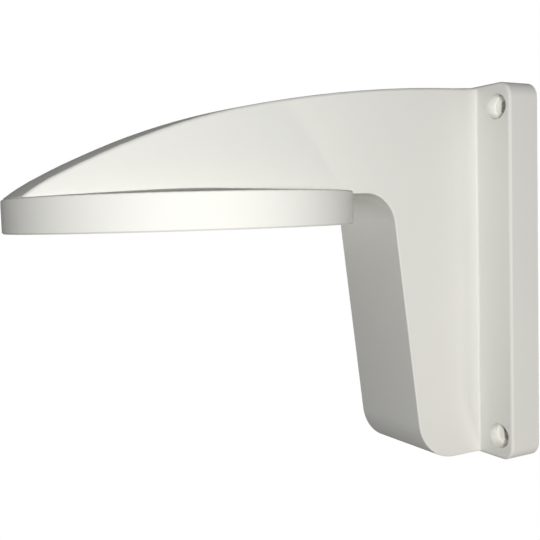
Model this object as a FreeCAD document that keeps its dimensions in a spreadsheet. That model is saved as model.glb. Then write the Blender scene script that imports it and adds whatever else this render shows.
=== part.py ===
import FreeCAD, Part
import math
import os
import Sketcher

# Wall bracket for a small dome camera, cast in one piece.
# The back of the wall plate lies in the plane Y = 0 and the arm reaches out along -Y.
# Z points up, and the part is symmetrical about the plane X = 0. Lengths are in millimetres.

doc = FreeCAD.newDocument("camera_wall_bracket")

# Driving dimensions, angles in degrees.
SIZES = [
    ("plate_width", 76.6),
    ("plate_height", 149.6),
    ("plate_depth", 14.7),
    ("plate_corner", 6),
    ("plate_edge", 1.2),
    ("wall", 3),
    ("disc_diameter", 122),
    ("disc_rim_height", 11.35),
    ("disc_rim_wall", 4),
    ("disc_fall_angle", 3),
    ("disc_top_edge", 0.8),
    ("disc_low_edge", 0.5),
    ("disc_reach", 136),
    ("arm_root_width", 41.4),
    ("arm_nose_width", 29.6),
    ("arm_set_in", 0.5),
    ("arm_fall", 40.95),
    ("arm_sunk_in_disc", 0.6),
    ("arm_nose_setback", 2.1),
    ("arm_top_edge", 1.2),
    ("arm_low_edge", 0.6),
    ("arm_root_round", 0.8),
    ("crown_bend", 0.67),
    ("crown_slope", 0.895),
    ("shoulder_bend", 0.293),
    ("shoulder_slope", 2.137),
    ("leg_lean", 7),
    ("leg_foot_depth", 29),
    ("foot_radius", 17),
    ("throat_radius", 13),
    ("wall_hole_from_side", 7.05),
    ("wall_hole_from_end", 9.3),
    ("wall_hole_diameter", 5),
    ("wall_recess_diameter", 10),
    ("wall_recess_depth", 4.5),
    ("wall_boss_diameter", 13),
    ("camera_hole_circle", 90),
    ("camera_hole_count", 3),
    ("camera_hole_diameter", 3.3),
    ("camera_hole_depth", 8),
    ("camera_boss_diameter", 9),
    ("cable_hole_diameter", 24),
    ("overlap", 0.5),
]

sheet = doc.addObject("Spreadsheet::Sheet", "sizes")
for row, (alias, number) in enumerate(SIZES, start=1):
    sheet.set("A%d" % row, alias)
    sheet.set("B%d" % row, str(number))
    sheet.setAlias("B%d" % row, alias)
doc.recompute()


def value(expression):
    """Number that an expression on the sheet gives."""
    return float(sheet.evalExpression(expression))


def new_sketch(body, name, role, offset=None):
    """Sketch on one of the body's origin planes, with an expression for each shifted axis."""
    sketch = body.newObject("Sketcher::SketchObject", name)
    plane = [item for item in body.Origin.OriginFeatures if item.Role == role][0]
    sketch.AttachmentSupport = [(plane, "")]
    sketch.MapMode = "FlatFace"
    for axis, expression in (offset or {}).items():
        sketch.setExpression("AttachmentOffset.Base." + axis, expression)
    return sketch


def drive(sketch, name, expression, kind, *where):
    """Add a named constraint whose amount follows an expression on the sheet."""
    amount = value(expression)
    if kind == "Angle":
        amount = math.radians(amount)
    index = sketch.addConstraint(Sketcher.Constraint(kind, *where, amount))
    sketch.renameConstraint(index, name)
    sketch.setExpression("Constraints." + name, expression)


def relate(sketch, kind, *where):
    """Add a geometric constraint such as Coincident, Tangent, Horizontal or Vertical."""
    sketch.addConstraint(Sketcher.Constraint(kind, *where))


def line(sketch, start, end):
    """Add a straight segment between two points of the sketch plane."""
    first = FreeCAD.Vector(start[0], start[1], 0)
    last = FreeCAD.Vector(end[0], end[1], 0)
    return sketch.addGeometry(Part.LineSegment(first, last), False)


def arc(sketch, centre, radius, start, end):
    """Add an arc that runs anticlockwise between two angles in degrees."""
    circle = Part.Circle(FreeCAD.Vector(centre[0], centre[1], 0), FreeCAD.Vector(0, 0, 1), radius)
    bow = Part.ArcOfCircle(circle, math.radians(start), math.radians(end))
    return sketch.addGeometry(bow, False)


def circle_at(sketch, name, x, y, diameter):
    """Add a circle from expressions; a centre coordinate of None puts it on that axis."""
    at = FreeCAD.Vector(value(x or "0"), value(y or "0"), 0)
    circle = Part.Circle(at, FreeCAD.Vector(0, 0, 1), value(diameter) / 2)
    index = sketch.addGeometry(circle, False)
    drive(sketch, name + "_diameter", diameter, "Diameter", index)
    if x is None and y is None:
        relate(sketch, "Coincident", index, 3, -1, 1)
        return
    if x is None:
        relate(sketch, "PointOnObject", index, 3, -2)
    else:
        drive(sketch, name + "_x", x, "DistanceX", -1, 1, index, 3)
    if y is None:
        relate(sketch, "PointOnObject", index, 3, -1)
    else:
        drive(sketch, name + "_y", y, "DistanceY", -1, 1, index, 3)


def box_outline(sketch, name, left, right, low, high):
    """Rectangle whose four sides sit at expressions, measured from the sketch origin."""
    x = (value(left), value(right))
    y = (value(low), value(high))
    corners = [(x[0], y[0]), (x[1], y[0]), (x[1], y[1]), (x[0], y[1])]
    sides = [line(sketch, corners[i], corners[(i + 1) % 4]) for i in range(4)]
    for i in range(4):
        relate(sketch, "Coincident", sides[i], 2, sides[(i + 1) % 4], 1)
        relate(sketch, "Horizontal" if i % 2 == 0 else "Vertical", sides[i])
    drive(sketch, name + "_left", left, "DistanceX", -1, 1, sides[0], 1)
    drive(sketch, name + "_right", right, "DistanceX", -1, 1, sides[0], 2)
    drive(sketch, name + "_low", low, "DistanceY", -1, 1, sides[0], 1)
    drive(sketch, name + "_high", high, "DistanceY", -1, 1, sides[2], 1)


def pad(body, name, sketch, length, symmetric=False):
    """Raise a sketch into a solid whose length follows an expression."""
    feature = body.newObject("PartDesign::Pad", name)
    feature.Profile = sketch
    feature.setExpression("Length", length)
    feature.SideType = "Symmetric" if symmetric else "One side"
    doc.recompute()
    return feature


def pocket(body, name, sketch, length=None, along_normal=True):
    """Cut a sketch out of the body: to a length, or right through both ways without one."""
    feature = body.newObject("PartDesign::Pocket", name)
    feature.Profile = sketch
    if length is None:
        feature.Type = "ThroughAll"
        feature.SideType = "Symmetric"
    else:
        feature.setExpression("Length", length)
        feature.Reversed = along_normal
    doc.recompute()
    return feature


def round_edges(body, name, feature, radius, chosen):
    """Round those edges of a feature for which chosen(edge) holds."""
    edges = feature.Shape.Edges
    names = ["Edge%d" % (i + 1) for i, edge in enumerate(edges) if chosen(edge)]
    rounding = body.newObject("PartDesign::Fillet", name)
    rounding.Base = (feature, names)
    rounding.setExpression("Radius", radius)
    doc.recompute()
    return rounding


def ends(edge):
    """The edge's first and last points."""
    return edge.valueAt(edge.FirstParameter), edge.valueAt(edge.LastParameter)


def middle(edge):
    """The point halfway along the edge's parameter."""
    return edge.valueAt((edge.FirstParameter + edge.LastParameter) / 2)


# Heights and depths that several features share, as expressions on the sheet.
PLATE_FRONT = "-sizes.plate_depth"
ARM_TOP = "sizes.plate_height / 2 - sizes.arm_set_in"
RIM_TOP = ARM_TOP + " - sizes.arm_fall"
RIM_LOW = RIM_TOP + " - sizes.disc_rim_height"
BELLY = RIM_TOP + " - sizes.arm_sunk_in_disc"
NOSE_TIP = "sizes.arm_nose_setback - sizes.disc_reach - sizes.disc_diameter / 2"

# The arm's top line keeps its form when its length or its fall changes: radii go with the
# length squared over the fall, and the slopes where the arcs meet go with the fall over the length.
TOP_LENGTH = "(" + PLATE_FRONT + " - (" + NOSE_TIP + "))"
CROWN_RADIUS = "sizes.crown_bend * " + TOP_LENGTH + " ^ 2 / sizes.arm_fall"
SHOULDER_RADIUS = "sizes.shoulder_bend * " + TOP_LENGTH + " ^ 2 / sizes.arm_fall"
CROWN_ANGLE = "atan(sizes.crown_slope * sizes.arm_fall / " + TOP_LENGTH + ")"
SHOULDER_END = "atan(sizes.shoulder_slope * sizes.arm_fall / " + TOP_LENGTH + ")"
FOOT_CORNER = "-sizes.plate_depth - sizes.leg_foot_depth"
FOOT_CENTRE = FOOT_CORNER + " + sizes.foot_radius / tan(45 + sizes.leg_lean / 2)"


def arm_side_sketch(body, name, inset, rear_at):
    """Side view of the arm and its leg, lying a given depth inside the skin.

    Going round: rear, flat, crown, shoulder and nose arcs, belly, throat arc, leaning
    shin, foot arc and sole. Skin and core share every arc centre. The nose arc's radius
    is left open, and its index is returned with the sketch.
    """
    depth = value(inset)
    rear_y = value(rear_at)
    front = value(PLATE_FRONT)
    top = value(ARM_TOP) - depth
    sole_z = depth - value(ARM_TOP)
    belly_z = value(BELLY) + depth
    crown = value(CROWN_RADIUS) - depth
    shoulder = value(SHOULDER_RADIUS) - depth
    foot = value("sizes.foot_radius") - depth
    throat = value("sizes.throat_radius") + depth
    turn_one = value(CROWN_ANGLE)
    turn_two = value(SHOULDER_END)
    lean = value("sizes.leg_lean")

    # starting centres of the three top arcs, worked out from the wall outwards
    crown_at = (front, top - crown)
    shoulder_at = (
        crown_at[0] - (crown - shoulder) * math.sin(math.radians(turn_one)),
        crown_at[1] + (crown - shoulder) * math.cos(math.radians(turn_one)),
    )
    inward = (math.sin(math.radians(turn_two)), -math.cos(math.radians(turn_two)))
    reach = shoulder + depth
    last = (shoulder_at[0] - reach * inward[0], shoulder_at[1] - reach * inward[1])
    span = (value(NOSE_TIP) - last[0], value(RIM_TOP) - last[1])
    nose = (span[0] ** 2 + span[1] ** 2) / (2 * (span[0] * inward[0] + span[1] * inward[1]))
    nose_at = (last[0] + nose * inward[0], last[1] + nose * inward[1])
    nose_end = 180 - math.degrees(math.asin((belly_z - nose_at[1]) / (nose - depth)))
    nose_y = nose_at[0] + (nose - depth) * math.cos(math.radians(nose_end))

    # starting centres of the foot and throat arcs, on either side of the leaning shin
    foot_at = (value(FOOT_CENTRE), sole_z + foot)
    slope = math.tan(math.radians(lean))
    across = (math.cos(math.radians(lean)), math.sin(math.radians(lean)))
    throat_z = belly_z - throat
    throat_y = foot_at[0] - (foot + throat) / across[0] - (throat_z - foot_at[1]) * slope
    throat_at = (throat_y, throat_z)
    shin_top = (throat_at[0] + throat * across[0], throat_at[1] + throat * across[1])
    shin_low = (foot_at[0] - foot * across[0], foot_at[1] - foot * across[1])

    sketch = new_sketch(body, name, "YZ_Plane")
    rear = line(sketch, (rear_y, sole_z), (rear_y, top))
    flat = line(sketch, (rear_y, top), (front, top))
    crown_arc = arc(sketch, crown_at, crown, 90, 90 + turn_one)
    shoulder_arc = arc(sketch, shoulder_at, shoulder, 90 + turn_one, 90 + turn_two)
    nose_arc = arc(sketch, nose_at, nose - depth, 90 + turn_two, nose_end)
    belly = line(sketch, (nose_y, belly_z), (throat_at[0], belly_z))
    throat_arc = arc(sketch, throat_at, throat, lean, 90)
    shin = line(sketch, shin_top, shin_low)
    foot_arc = arc(sketch, foot_at, foot, 180 + lean, 270)
    sole = line(sketch, (foot_at[0], sole_z), (rear_y, sole_z))

    relate(sketch, "Vertical", rear)
    relate(sketch, "Horizontal", flat)
    relate(sketch, "Horizontal", belly)
    relate(sketch, "Horizontal", sole)
    relate(sketch, "Coincident", rear, 2, flat, 1)
    relate(sketch, "Tangent", flat, 2, crown_arc, 1)
    relate(sketch, "Tangent", crown_arc, 2, shoulder_arc, 1)
    relate(sketch, "Tangent", shoulder_arc, 2, nose_arc, 1)
    relate(sketch, "Coincident", nose_arc, 2, belly, 1)
    relate(sketch, "Tangent", belly, 2, throat_arc, 2)
    relate(sketch, "Tangent", throat_arc, 1, shin, 1)
    relate(sketch, "Tangent", shin, 2, foot_arc, 1)
    relate(sketch, "Tangent", foot_arc, 2, sole, 1)
    relate(sketch, "Coincident", sole, 2, rear, 1)

    drive(sketch, "rear_y", rear_at, "DistanceX", -1, 1, rear, 1)
    drive(sketch, "crown_y", PLATE_FRONT, "DistanceX", -1, 1, flat, 2)
    drive(sketch, "top_z", ARM_TOP + " - " + inset, "DistanceY", -1, 1, flat, 2)
    drive(sketch, "sole_z", inset + " - (" + ARM_TOP + ")", "DistanceY", -1, 1, sole, 1)
    drive(sketch, "belly_z", BELLY + " + " + inset, "DistanceY", -1, 1, belly, 1)
    drive(sketch, "crown_radius", CROWN_RADIUS + " - " + inset, "Radius", crown_arc)
    drive(sketch, "crown_turn", CROWN_ANGLE, "Angle", crown_arc)
    drive(sketch, "shoulder_radius", SHOULDER_RADIUS + " - " + inset, "Radius", shoulder_arc)
    drive(sketch, "shoulder_turn", SHOULDER_END + " - " + CROWN_ANGLE, "Angle", shoulder_arc)
    drive(sketch, "throat_radius", "sizes.throat_radius + " + inset, "Radius", throat_arc)
    drive(sketch, "foot_radius", "sizes.foot_radius - " + inset, "Radius", foot_arc)
    drive(sketch, "foot_y", FOOT_CENTRE, "DistanceX", -1, 1, foot_arc, 3)
    drive(sketch, "foot_turn", "90 - sizes.leg_lean", "Angle", foot_arc)
    return sketch, nose_arc


def plan_frame_sketch(body, name, inset, back_at):
    """What to cut away around the arm as seen from above.

    A rectangle with the arm's outline left out of it. The outline has straight sides
    that close in towards the nose, and a nose arc about the disc's axis. It lies inset
    from the skin, and the nose arc passes through the point where the top line ends.
    """
    centre_y = -value("sizes.disc_reach")
    nose_radius = "sizes.disc_diameter / 2 - sizes.arm_nose_setback - " + inset
    root_width = "sizes.arm_root_width - 2 * " + inset
    nose_width = "sizes.arm_nose_width - 2 * " + inset
    nose = value(nose_radius)
    root, tip = value(root_width) / 2, value(nose_width) / 2
    back_y = value(back_at)
    spread = math.degrees(math.asin(tip / nose))
    tip_y = centre_y - math.sqrt(nose ** 2 - tip ** 2)

    sketch = new_sketch(body, name, "XY_Plane")
    margin = "2 * sizes.arm_root_width"
    far = "-sizes.disc_reach - sizes.disc_diameter"
    box_outline(sketch, "frame", "-" + margin, margin, far, margin)
    back = line(sketch, (root, back_y), (-root, back_y))
    left = line(sketch, (-root, back_y), (-tip, tip_y))
    bow = arc(sketch, (0, centre_y), nose, 270 - spread, 270 + spread)
    right = line(sketch, (tip, tip_y), (root, back_y))
    relate(sketch, "Coincident", back, 2, left, 1)
    relate(sketch, "Coincident", left, 2, bow, 1)
    relate(sketch, "Coincident", bow, 2, right, 1)
    relate(sketch, "Coincident", right, 2, back, 1)
    relate(sketch, "Symmetric", back, 1, back, 2, -2)
    relate(sketch, "Symmetric", bow, 1, bow, 2, -2)
    relate(sketch, "PointOnObject", bow, 3, -2)
    drive(sketch, "back_y", back_at, "DistanceY", -1, 1, back, 1)
    drive(sketch, "root_width", root_width, "DistanceX", back, 2, back, 1)
    drive(sketch, "nose_width", nose_width, "DistanceX", bow, 1, bow, 2)
    drive(sketch, "nose_radius", nose_radius, "Radius", bow)
    drive(sketch, "nose_centre", "-sizes.disc_reach", "DistanceY", -1, 1, bow, 3)
    return sketch


# Arm and leg: the side view drawn out sideways, then cut to the tapering plan.
arm = doc.addObject("PartDesign::Body", "arm")
arm_side, arm_nose_arc = arm_side_sketch(arm, "arm_side", "0", "-sizes.plate_depth / 2")
nose_point = FreeCAD.Vector(value(NOSE_TIP), value(RIM_TOP), 0)
nose_meets_rim = arm_side.addGeometry(Part.Point(nose_point), True)
relate(arm_side, "PointOnObject", nose_meets_rim, 1, arm_nose_arc)
drive(arm_side, "nose_tip_y", NOSE_TIP, "DistanceX", -1, 1, nose_meets_rim, 1)
drive(arm_side, "nose_tip_z", RIM_TOP, "DistanceY", -1, 1, nose_meets_rim, 1)
nose_radius_mark = arm_side.addConstraint(
    Sketcher.Constraint("Radius", arm_nose_arc, arm_side.Geometry[arm_nose_arc].Radius)
)
arm_side.setDriving(nose_radius_mark, False)
arm_side.renameConstraint(nose_radius_mark, "nose_radius")
doc.recompute()
arm_block = pad(arm, "arm_block", arm_side, "sizes.arm_root_width + 2 * sizes.overlap", True)
# A keel under the nose gives the top rounding a full side face to run out on.
keel_outline = new_sketch(arm, "keel_outline", "YZ_Plane")
KEEL_LOW = BELLY + " - sizes.disc_rim_height / 2"
KEEL_FRONT = "-sizes.disc_reach - sizes.disc_diameter / 2"
box_outline(keel_outline, "keel", KEEL_FRONT, "-sizes.disc_reach", KEEL_LOW, BELLY)
keel = pad(arm, "keel", keel_outline, "sizes.arm_root_width + 2 * sizes.overlap", True)
arm_plan = plan_frame_sketch(arm, "arm_plan", "0", "0")
arm_shape = pocket(arm, "arm_shape", arm_plan)


def on_arm_side(edge):
    """True for an edge that runs lengthwise along one of the arm's two flat sides."""
    first, last = ends(edge)
    least = value("sizes.arm_nose_width") / 2 - value("sizes.overlap")
    if min(abs(first.x), abs(last.x)) < least or first.x * last.x < 0:
        return False
    return abs(first.y - last.y) > value("sizes.overlap")


def on_arm_top(edge):
    """True for the lengthwise edges of the arm's top."""
    return on_arm_side(edge) and middle(edge).z > value(RIM_TOP)


def on_arm_underside(edge):
    """True for the lengthwise edges of belly, throat, leg front, foot and sole."""
    return on_arm_side(edge) and middle(edge).z <= value(RIM_TOP)


arm_top_rounding = round_edges(arm, "arm_top_rounding", arm_shape, "sizes.arm_top_edge", on_arm_top)
keel_cut = pocket(arm, "keel_cut", keel_outline)
arm.Tip = keel_cut
doc.recompute()

# Hollow of the arm and leg, an even wall inside the skin, open at the wall plane.
core = doc.addObject("PartDesign::Body", "core")
core_side, core_nose_arc = arm_side_sketch(core, "core_side", "sizes.wall", "sizes.overlap")
core_nose_radius = "arm_side.Constraints.nose_radius / 1 mm - sizes.wall"
drive(core_side, "nose_radius", core_nose_radius, "Radius", core_nose_arc)
core_block = pad(core, "core_block", core_side, "sizes.arm_root_width", True)
core_plan = plan_frame_sketch(core, "core_plan", "sizes.wall", "sizes.overlap")
core_shape = pocket(core, "core_shape", core_plan)
core.Tip = core_shape
doc.recompute()

# Disc under the arm's end: a coned top that sheds water, a rim, and a flat web inside the rim.
# The rim's top edge is an arc of the section and its low edge a bevel, so both turn into true rings.
disc = doc.addObject("PartDesign::Body", "disc")
disc_section = new_sketch(disc, "disc_section", "YZ_Plane", {"x": "-sizes.disc_reach"})
PEAK = RIM_TOP + " + sizes.disc_diameter / 2 * tan(sizes.disc_fall_angle)"
radius = value("sizes.disc_diameter / 2")
inner = radius - value("sizes.disc_rim_wall")
low = value(RIM_LOW)
high = value(RIM_TOP)
web = high - value("sizes.wall")
fall = math.radians(value("sizes.disc_fall_angle"))
low_edge = value("sizes.disc_low_edge")
top_edge = value("sizes.disc_top_edge")
low_at = (radius - low_edge, low + low_edge)
top_at = (radius - top_edge, high + top_edge * math.tan(fall) - top_edge / math.cos(fall))
cone_start = (top_at[0] + top_edge * math.sin(fall), top_at[1] + top_edge * math.cos(fall))
web_under = line(disc_section, (0, web), (inner, web))
rim_inside = line(disc_section, (inner, web), (inner, low))
rim_under = line(disc_section, (inner, low), (low_at[0], low))
low_bevel = line(disc_section, (low_at[0], low), (radius, low_at[1]))
rim_outside = line(disc_section, (radius, low_at[1]), (radius, top_at[1]))
top_arc = arc(disc_section, top_at, top_edge, 0, 90 - math.degrees(fall))
coned_top = line(disc_section, cone_start, (0, value(PEAK)))
disc_axis = line(disc_section, (0, value(PEAK)), (0, web))
relate(disc_section, "Coincident", web_under, 2, rim_inside, 1)
relate(disc_section, "Coincident", rim_inside, 2, rim_under, 1)
relate(disc_section, "Coincident", rim_under, 2, low_bevel, 1)
relate(disc_section, "Coincident", low_bevel, 2, rim_outside, 1)
relate(disc_section, "Tangent", rim_outside, 2, top_arc, 1)
relate(disc_section, "Tangent", top_arc, 2, coned_top, 1)
relate(disc_section, "Coincident", coned_top, 2, disc_axis, 1)
relate(disc_section, "Coincident", disc_axis, 2, web_under, 1)
relate(disc_section, "Horizontal", web_under)
relate(disc_section, "Vertical", rim_inside)
relate(disc_section, "Horizontal", rim_under)
relate(disc_section, "Vertical", rim_outside)
relate(disc_section, "PointOnObject", disc_axis, 1, -2)
relate(disc_section, "Vertical", disc_axis)
drive(disc_section, "rim_radius", "sizes.disc_diameter / 2", "DistanceX", -1, 1, rim_outside, 1)
RIM_INNER = "sizes.disc_diameter / 2 - sizes.disc_rim_wall"
drive(disc_section, "rim_inner", RIM_INNER, "DistanceX", -1, 1, rim_inside, 1)
drive(disc_section, "rim_low", RIM_LOW, "DistanceY", -1, 1, rim_inside, 2)
drive(disc_section, "web_low", RIM_TOP + " - sizes.wall", "DistanceY", -1, 1, web_under, 1)
drive(disc_section, "peak", PEAK, "DistanceY", -1, 1, disc_axis, 1)
drive(disc_section, "fall", "180 - sizes.disc_fall_angle", "Angle", coned_top)
drive(disc_section, "low_across", "sizes.disc_low_edge", "DistanceX", low_bevel, 1, low_bevel, 2)
drive(disc_section, "low_up", "sizes.disc_low_edge", "DistanceY", low_bevel, 1, low_bevel, 2)
drive(disc_section, "top_edge", "sizes.disc_top_edge", "Radius", top_arc)
disc_turned = disc.newObject("PartDesign::Revolution", "disc_turned")
disc_turned.Profile = disc_section
disc_turned.ReferenceAxis = (disc_section, ["V_Axis"])
disc_turned.Angle = 360
disc.Tip = disc_turned
doc.recompute()

# Wall plate with rounded corners and a rounded front edge.
bracket = doc.addObject("PartDesign::Body", "bracket")
plate_outline = new_sketch(bracket, "plate_outline", "XZ_Plane")
box_outline(
    plate_outline,
    "plate",
    "-sizes.plate_width / 2",
    "sizes.plate_width / 2",
    "-sizes.plate_height / 2",
    "sizes.plate_height / 2",
)
plate_block = pad(bracket, "plate_block", plate_outline, "sizes.plate_depth")


def runs_through_plate(edge):
    """True for an edge square to the wall."""
    first, last = ends(edge)
    return abs(first.y - last.y) > value("sizes.overlap")


def on_plate_front(edge):
    """True for an edge that lies in the plate's front face."""
    first, last = ends(edge)
    return max(abs(point.y - value(PLATE_FRONT)) for point in (first, middle(edge), last)) < 1e-4


plate_corners = round_edges(
    bracket, "plate_corners", plate_block, "sizes.plate_corner", runs_through_plate
)
plate_rounding = round_edges(
    bracket, "plate_rounding", plate_corners, "sizes.plate_edge", on_plate_front
)

# Arm and disc grow out of the plate.
joined = bracket.newObject("PartDesign::Boolean", "joined")
joined.Type = "Fuse"
joined.setObjects([arm, disc])
doc.recompute()


def on_leg(edge):
    """True for the lengthwise edges of throat, leg front, foot and sole, behind the disc."""
    first, last = ends(edge)
    behind = min(first.y, last.y) > radius - value("sizes.disc_reach")
    return behind and on_arm_underside(edge)


def on_arm_root(edge):
    """True for the two upright corners where the arm's sides meet the plate's front."""
    first, last = ends(edge)
    upright = abs(first.z - last.z) > value("sizes.plate_height") / 2
    return upright and on_plate_front(edge) and abs(first.x) < value("sizes.arm_root_width") / 2


arm_root_rounding = round_edges(
    bracket, "arm_root_rounding", joined, "sizes.arm_root_round", on_arm_root
)
leg_rounding = round_edges(
    bracket, "leg_rounding", arm_root_rounding, "sizes.arm_low_edge", on_leg
)

# The arm's hollow opens at the wall.
hollowed = bracket.newObject("PartDesign::Boolean", "hollowed")
hollowed.Type = "Cut"
hollowed.setObjects([core])
doc.recompute()

# The plate is hollow from behind on each side of the arm, with an even wall all round.
flange_outline = new_sketch(bracket, "flange_outline", "XZ_Plane")
near, far = "sizes.arm_root_width / 2", "sizes.plate_width / 2 - sizes.wall"
half_up = "sizes.plate_height / 2 - sizes.wall"
box_outline(flange_outline, "right", near, far, "-(" + half_up + ")", half_up)
box_outline(flange_outline, "left", "-(" + far + ")", "-" + near, "-(" + half_up + ")", half_up)
flange_hollow = pocket(bracket, "flange_hollow", flange_outline, "sizes.plate_depth - sizes.wall")

# Round bosses behind the four wall screw holes.
half_across = "(sizes.plate_width / 2 - sizes.wall_hole_from_side)"
half_rise = "(sizes.plate_height / 2 - sizes.wall_hole_from_end)"
corners = [
    ("low_left", "-" + half_across, "-" + half_rise),
    ("low_right", half_across, "-" + half_rise),
    ("high_right", half_across, half_rise),
    ("high_left", "-" + half_across, half_rise),
]
boss_outline = new_sketch(bracket, "boss_outline", "XZ_Plane")
for name, x, z in corners:
    circle_at(boss_outline, name, x, z, "sizes.wall_boss_diameter")
boss_height = "sizes.plate_depth - sizes.wall + sizes.overlap"
wall_bosses = pad(bracket, "wall_bosses", boss_outline, boss_height)

# Screw holes right through, each with a recess for the screw head.
screw_outline = new_sketch(bracket, "screw_outline", "XZ_Plane")
recess_outline = new_sketch(bracket, "recess_outline", "XZ_Plane", {"z": "sizes.plate_depth"})
for name, x, z in corners:
    circle_at(screw_outline, name, x, z, "sizes.wall_hole_diameter")
    circle_at(recess_outline, name, x, z, "sizes.wall_recess_diameter")
screw_holes = pocket(bracket, "screw_holes", screw_outline, "sizes.plate_depth")
screw_recesses = pocket(bracket, "screw_recesses", recess_outline, "sizes.wall_recess_depth", False)

# Bosses under the web for the camera's screws, flush with the rim, each with a pilot hole.
under_disc = {"y": "-sizes.disc_reach", "z": RIM_LOW}
camera_boss_outline = new_sketch(bracket, "camera_boss_outline", "XY_Plane", under_disc)
ring_at = "-sizes.camera_hole_circle / 2"
circle_at(camera_boss_outline, "boss", None, ring_at, "sizes.camera_boss_diameter")
boss_height = "sizes.disc_rim_height - sizes.wall + sizes.overlap"
camera_boss = pad(bracket, "camera_boss", camera_boss_outline, boss_height)


def ring_of(name, feature):
    """Repeat a feature evenly about the disc's axis."""
    ring = bracket.newObject("PartDesign::PolarPattern", name)
    ring.Originals = [feature]
    ring.Axis = (feature.Profile[0], ["N_Axis"])
    ring.Angle = 360
    ring.setExpression("Occurrences", "sizes.camera_hole_count")
    bracket.Tip = ring
    doc.recompute()
    return ring


camera_bosses = ring_of("camera_bosses", camera_boss)
camera_hole_outline = new_sketch(bracket, "camera_hole_outline", "XY_Plane", under_disc)
circle_at(camera_hole_outline, "hole", None, ring_at, "sizes.camera_hole_diameter")
camera_hole = pocket(bracket, "camera_hole", camera_hole_outline, "sizes.camera_hole_depth")
camera_holes = ring_of("camera_holes", camera_hole)

# Cable hole from under the disc up into the arm's hollow.
cable_outline = new_sketch(bracket, "cable_outline", "XY_Plane", under_disc)
circle_at(cable_outline, "cable", None, None, "sizes.cable_hole_diameter")
cable_depth = "sizes.disc_rim_height - sizes.arm_sunk_in_disc + sizes.wall + sizes.overlap"
cable_hole = pocket(bracket, "cable_hole", cable_outline, cable_depth)
bracket.Tip = cable_hole
doc.recompute()

for item in doc.Objects:
    if "Invalid" in item.State or "Error" in item.State:
        raise ValueError(item.Name + " did not build")
    if hasattr(item, "Shape") and (item.Shape.isNull() or not item.Shape.isValid()):
        raise ValueError(item.Name + " has no sound shape")
if len(bracket.Shape.Solids) != 1:
    raise ValueError("the bracket is not one solid")

os.makedirs("parts", exist_ok=True)
bracket.Shape.exportStep("parts/bracket.step")
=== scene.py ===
import math

import bmesh
import bpy
import numpy as np
from mathutils import Matrix, Vector


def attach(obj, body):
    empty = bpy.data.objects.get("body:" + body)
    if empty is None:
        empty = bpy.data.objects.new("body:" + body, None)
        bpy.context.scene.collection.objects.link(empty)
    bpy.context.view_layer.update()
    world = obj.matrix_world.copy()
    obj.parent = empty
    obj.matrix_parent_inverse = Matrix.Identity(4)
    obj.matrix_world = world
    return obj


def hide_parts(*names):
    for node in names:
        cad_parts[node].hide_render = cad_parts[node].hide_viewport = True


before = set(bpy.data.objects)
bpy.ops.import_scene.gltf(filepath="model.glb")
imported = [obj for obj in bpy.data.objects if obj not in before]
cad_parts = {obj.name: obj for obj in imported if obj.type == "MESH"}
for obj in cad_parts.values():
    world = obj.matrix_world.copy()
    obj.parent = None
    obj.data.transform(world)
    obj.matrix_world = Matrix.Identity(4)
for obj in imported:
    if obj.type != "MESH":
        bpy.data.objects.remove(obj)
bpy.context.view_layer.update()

# Camera
# A slightly long lens about 0.3 m from the bracket, level with the disc and to the right of the
# arm, so that the wall plate stands at the right of the picture and the disc at the left.
SENSOR_WIDTH_MM = 36
LENS_MM = 54.667
CLIP_START = 0.01
CAMERA_AT = (0.27086, -0.25069, 0.02658)
CAMERA_HEADING = math.radians(90 - 29.0)
CAMERA_PITCH = math.radians(90 - 3.991)
CAMERA_ROLL = math.radians(-1.649)

view = bpy.data.cameras.new("view")
view.sensor_width = SENSOR_WIDTH_MM
view.lens = LENS_MM
view.clip_start = CLIP_START
camera = bpy.data.objects.new("camera", view)
camera.matrix_world = (
    Matrix.Translation(CAMERA_AT)
    @ Matrix.Rotation(CAMERA_HEADING, 4, "Z")
    @ Matrix.Rotation(CAMERA_PITCH, 4, "X")
    @ Matrix.Rotation(CAMERA_ROLL, 4, "Z")
)
bpy.context.scene.collection.objects.link(camera)
bpy.context.scene.camera = camera

# Bracket
# One aluminium casting: wall plate, hollow arm with its leg, and rimmed disc.
# It is powder-coated off-white all over, with a nearly matt skin of very fine orange peel.
COAT_COLOUR = (0.84, 0.835, 0.79, 1)
COAT_SHADE = (0.815, 0.81, 0.765, 1)
COAT_ROUGHNESS = 0.75
CLOUD_SCALE = 38.0
PEEL_SCALE = 900.0
SWELL_SCALE = 220.0
PEEL_SHARE = 0.6
SWELL_SHARE = 0.4
PEEL_DEPTH = 0.00002


class Wire:
    """A shader socket that takes part in Python arithmetic by adding Math nodes."""

    def __init__(self, tree, socket):
        self.tree = tree
        self.socket = socket

    def math(self, operation, *others):
        """Result of a Math node that is fed by this socket and by the other values."""
        return node(self.tree, "ShaderNodeMath", {"operation": operation}, (self,) + others)

    def __add__(self, other):
        return self.math("ADD", other)

    def __mul__(self, other):
        return self.math("MULTIPLY", other)

    __radd__ = __add__
    __rmul__ = __mul__


def node(tree, kind, settings, inputs, output=0):
    """Add a node, apply its settings, feed its inputs, and return one output as a Wire.

    Inputs are a sequence, taken in order, or a dictionary keyed by socket name. Each is a
    Wire, which is linked, or a plain value, which is written to the socket.
    """
    made = tree.nodes.new(kind)
    for name, setting in settings.items():
        setattr(made, name, setting)
    pairs = inputs.items() if isinstance(inputs, dict) else enumerate(inputs)
    for key, value in pairs:
        if isinstance(value, Wire):
            tree.links.new(value.socket, made.inputs[key])
        else:
            made.inputs[key].default_value = value
    return Wire(tree, made.outputs[output])


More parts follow.
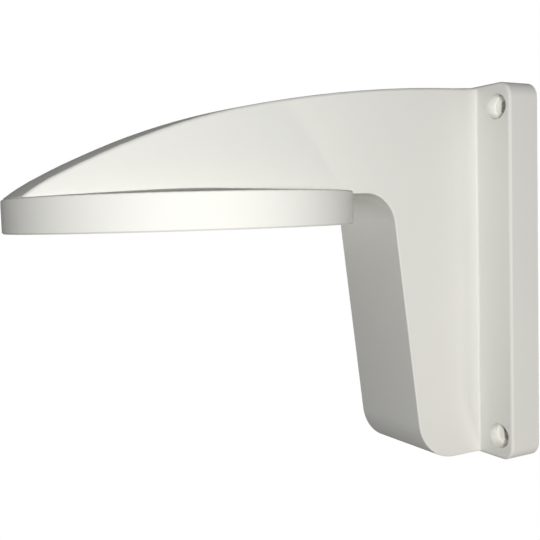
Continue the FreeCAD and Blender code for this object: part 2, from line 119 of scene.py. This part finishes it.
def powder_coat(name):
    """Nearly matt powder coat: two depths of orange peel, and a faint cloudiness in its colour."""
    material = bpy.data.materials.new(name)
    material.use_nodes = True
    tree = material.node_tree
    skin = tree.nodes["Principled BSDF"]
    place = node(tree, "ShaderNodeTexCoord", {}, {}, "Object")
    clouds = node(
        tree,
        "ShaderNodeTexNoise",
        {},
        {"Vector": place, "Scale": CLOUD_SCALE, "Detail": 3.0, "Roughness": 0.5},
    )
    colour = node(
        tree,
        "ShaderNodeMix",
        {"data_type": "RGBA"},
        {"Factor": clouds, "A": COAT_COLOUR, "B": COAT_SHADE},
        "Result",
    )
    peel = node(tree, "ShaderNodeTexNoise", {}, {"Vector": place, "Scale": PEEL_SCALE, "Detail": 2.0})
    swell = node(tree, "ShaderNodeTexNoise", {}, {"Vector": place, "Scale": SWELL_SCALE, "Detail": 1.0})
    relief = node(
        tree,
        "ShaderNodeBump",
        {},
        {"Strength": 1.0, "Distance": PEEL_DEPTH, "Height": PEEL_SHARE * peel + SWELL_SHARE * swell},
    )
    tree.links.new(colour.socket, skin.inputs["Base Color"])
    tree.links.new(relief.socket, skin.inputs["Normal"])
    skin.inputs["Roughness"].default_value = COAT_ROUGHNESS
    return material


# The casting's top, which the plain solid has flat from side to side, is cambered: it falls from
# the ridge to both edges, by CAMBER at each place along Y in CAMBER_AT. Its nose runs out to the
# disc's rim. The camber is read from the dark band along the arm's top and is an interpretation.
MERGE_WITHIN = 1e-6
RIDGE_CUTS = (-0.012, -0.008, -0.004, 0.0, 0.004, 0.008, 0.012)
ARM_HALF_AT_WALL = 0.0207
ARM_CLOSES_IN = 0.0306
DISC_TOP = 0.0334
TOP_BAND = 0.002
SIDE_MARGIN = 0.0002
CLEAR_OF_DISC = 0.0003
LOWEST_OVER_DISC = 0.0001
CAMBER_AT = (-0.195, -0.187, -0.180, -0.153, -0.131, -0.108, -0.020, -0.015)
CAMBER = (0.0008, 0.0006, 0.0010, 0.0010, 0.00065, 0.00045, 0.00045, 0.0)
NOSE_FROM = -0.165
NOSE_TIP = -0.1949
NOSE_RUN_OUT = 0.0012
NOSE_SIDE_MARGIN = 0.0001
SHARP_FROM = math.radians(32)


def merged_copy(cad_node):
    """A copy of a CAD node's mesh: doubles merged, cut lengthwise at each x, slivers dissolved."""
    shell = bmesh.new()
    shell.from_mesh(cad_node.data)
    bmesh.ops.remove_doubles(shell, verts=shell.verts, dist=MERGE_WITHIN)
    for x in RIDGE_CUTS:
        everything = shell.verts[:] + shell.edges[:] + shell.faces[:]
        bmesh.ops.bisect_plane(shell, geom=everything, plane_co=(x, 0, 0), plane_no=(1, 0, 0))
    bmesh.ops.dissolve_degenerate(shell, edges=shell.edges, dist=MERGE_WITHIN)
    mesh = bpy.data.meshes.new("cast_bracket")
    shell.to_mesh(mesh)
    shell.free()
    if "custom_normal" in mesh.attributes:
        mesh.attributes.remove(mesh.attributes["custom_normal"])
    return mesh


def camber_top(points):
    """Lower the arm's top by the camber times the square of x over the arm's half width.

    The half width is its value at the wall less a fixed share of the distance from the wall.
    Only points within a band under the ridge line move, and none sinks into the disc.
    """
    x, y, z = points.T
    on_ridge = (np.abs(x) < MERGE_WITHIN) & (y < CAMBER_AT[-1]) & (z > DISC_TOP)
    order = np.argsort(y[on_ridge])
    ridge_y, ridge_z = y[on_ridge][order], z[on_ridge][order]
    outer = np.maximum.accumulate(ridge_z) == ridge_z
    ridge = np.interp(y, ridge_y[outer], ridge_z[outer])
    half = ARM_HALF_AT_WALL + ARM_CLOSES_IN * y
    near = (np.abs(ridge - z) < TOP_BAND) & (np.abs(x) < half + SIDE_MARGIN) & (y < CAMBER_AT[-1])
    near &= z > DISC_TOP + CLEAR_OF_DISC
    drop = np.interp(y, CAMBER_AT, CAMBER) * (x / half) ** 2
    points[near, 2] = np.maximum(z - drop, DISC_TOP + LOWEST_OVER_DISC)[near]


def run_out_nose(points):
    """Move the arm's nose outward by the run-out times 3 s squared less 2 s cubed.

    Here s grows from 0, where the nose begins, to 1 at its tip.
    """
    x, y, z = points.T
    share = np.clip((NOSE_FROM - y) / (NOSE_FROM - NOSE_TIP), 0, 1)
    half = ARM_HALF_AT_WALL + ARM_CLOSES_IN * y
    on_arm = (z > DISC_TOP) & (np.abs(x) < half + NOSE_SIDE_MARGIN)
    points[on_arm, 1] -= (NOSE_RUN_OUT * share**2 * (3 - 2 * share))[on_arm]


cast_mesh = merged_copy(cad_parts["bracket"])
places = np.empty(len(cast_mesh.vertices) * 3)
cast_mesh.vertices.foreach_get("co", places)
places = places.reshape(-1, 3)
camber_top(places)
run_out_nose(places)
cast_mesh.vertices.foreach_set("co", places.ravel())
cast_mesh.update()
cast_mesh.shade_smooth()
cast_mesh.set_sharp_from_angle(angle=SHARP_FROM)
cast_mesh.materials.clear()
cast_mesh.materials.append(powder_coat("powder_coat"))
bracket = bpy.data.objects.new("cast_bracket", cast_mesh)
bpy.context.scene.collection.objects.link(bracket)
even_shading = bracket.modifiers.new("even_shading", "WEIGHTED_NORMAL")
even_shading.keep_sharp = True
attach(bracket, "root")
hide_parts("bracket")

# Floor
# A plain pale floor well below the bracket, which hangs as it does on a wall.
FLOOR_Z = -1.0
FLOOR_HALF = 8.0
FLOOR_COLOUR = (0.4, 0.4, 0.4, 1)
FLOOR_ROUGHNESS = 0.9


def shows_white(tree):
    """1 for rays from the camera, off a gloss or through glass, which see a white background."""
    white = node(tree, "ShaderNodeLightPath", {}, {}, "Is Camera Ray")
    for ray in ("Is Glossy Ray", "Is Transmission Ray"):
        white = white.math("MAXIMUM", node(tree, "ShaderNodeLightPath", {}, {}, ray))
    return white


corners = np.array([(-1, -1, 0), (1, -1, 0), (1, 1, 0), (-1, 1, 0)], float) * FLOOR_HALF
corners[:, 2] = FLOOR_Z
floor_mesh = bpy.data.meshes.new("floor")
floor_mesh.from_pydata(corners.tolist(), [], [(0, 1, 2, 3)])
floor = bpy.data.objects.new("floor", floor_mesh)
bpy.context.scene.collection.objects.link(floor)
floor_paint = bpy.data.materials.new("floor_paint")
floor_paint.use_nodes = True
tree = floor_paint.node_tree
plain = tree.nodes["Principled BSDF"]
plain.inputs["Base Color"].default_value = FLOOR_COLOUR
plain.inputs["Roughness"].default_value = FLOOR_ROUGHNESS
glow = node(tree, "ShaderNodeEmission", {}, {"Color": (1, 1, 1, 1), "Strength": 1.0})
surface = node(
    tree, "ShaderNodeMixShader", {}, {0: shows_white(tree), 1: Wire(tree, plain.outputs[0]), 2: glow}
)
tree.links.new(surface.socket, tree.nodes["Material Output"].inputs["Surface"])
floor_mesh.materials.append(floor_paint)

# Light
# One soft round lamp a little to the right of the camera, a second from low on the right for the
# leg and the plate's edge, a third behind for the sides turned away, and a dim room.
LAMP_SIZE = 0.05
ROOM_STRENGTH = 0.02
LAMPS = [
    ("key", (0.4604, -0.316, 0.030), (0.0, -0.09, 0.01), 2.12, (1.0, 1.0, 1.0)),
    ("low_fill", (0.2551, 0.0839, -0.3452), (0.0, -0.04, 0.0), 0.255, (1.0, 0.93, 0.8)),
    ("back_fill", (-0.38, 0.34, 0.12), (0.0, -0.02, -0.01), 2.4, (1.0, 1.0, 1.0)),
]
for name, at, aim, watts, tint in LAMPS:
    lamp_data = bpy.data.lights.new(name, "AREA")
    lamp_data.shape = "DISK"
    lamp_data.size = LAMP_SIZE
    lamp_data.energy = watts
    lamp_data.color = tint
    lamp = bpy.data.objects.new(name, lamp_data)
    towards = Vector(aim) - Vector(at)
    lamp.matrix_world = Matrix.Translation(at) @ towards.to_track_quat("-Z", "Y").to_matrix().to_4x4()
    lamp.visible_camera = False
    bpy.context.scene.collection.objects.link(lamp)

room = bpy.data.worlds.new("room")
bpy.context.scene.world = room
room.use_nodes = True
tree = room.node_tree
tree.nodes.clear()
dim = node(tree, "ShaderNodeBackground", {}, {"Color": (1, 1, 1, 1), "Strength": ROOM_STRENGTH})
white = node(tree, "ShaderNodeBackground", {}, {"Color": (1, 1, 1, 1), "Strength": 1.0})
sky = node(tree, "ShaderNodeMixShader", {}, {0: shows_white(tree), 1: dim, 2: white})
ending = tree.nodes.new("ShaderNodeOutputWorld")
tree.links.new(sky.socket, ending.inputs["Surface"])

bpy.context.scene.view_settings.view_transform = "Standard"
